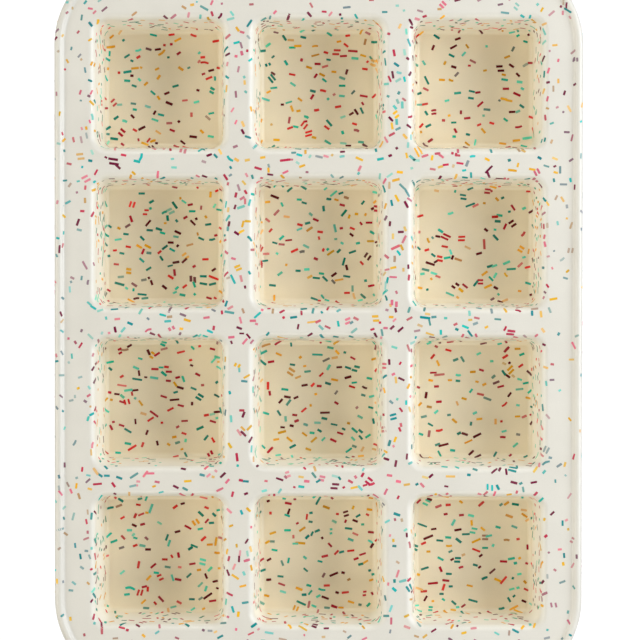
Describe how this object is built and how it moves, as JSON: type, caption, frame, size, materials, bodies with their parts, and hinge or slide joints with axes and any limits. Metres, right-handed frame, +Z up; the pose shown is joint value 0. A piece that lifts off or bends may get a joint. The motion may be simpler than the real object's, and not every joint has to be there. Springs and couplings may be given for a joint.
{
  "type": "brownie bar pan",
  "caption": "Flat rectangular baking pan with a grid of square, straight-sided cups, rounded lips, a flat deck and a wire-rolled rim.",
  "frame": {"origin": "under the middle of the pan, on the plane that the undersides of the cup floors rest on", "axes": "+X across the columns of cups (the short side), +Y along the rows (the long side), +Z up, out of the cups' mouths"},
  "size_m": [0.28, 0.39, 0.0328],
  "materials": {
    "coated_steel": "satin ceramic coating in warm cream with small confetti dashes in maroon, coral, amber, teal and mint",
    "steel_wire": "plain drawn steel wire"
  },
  "bodies": {
    "root": {"pan_body": "coated_steel", "rim_wire": "steel_wire"}
  },
  "joints": []
}
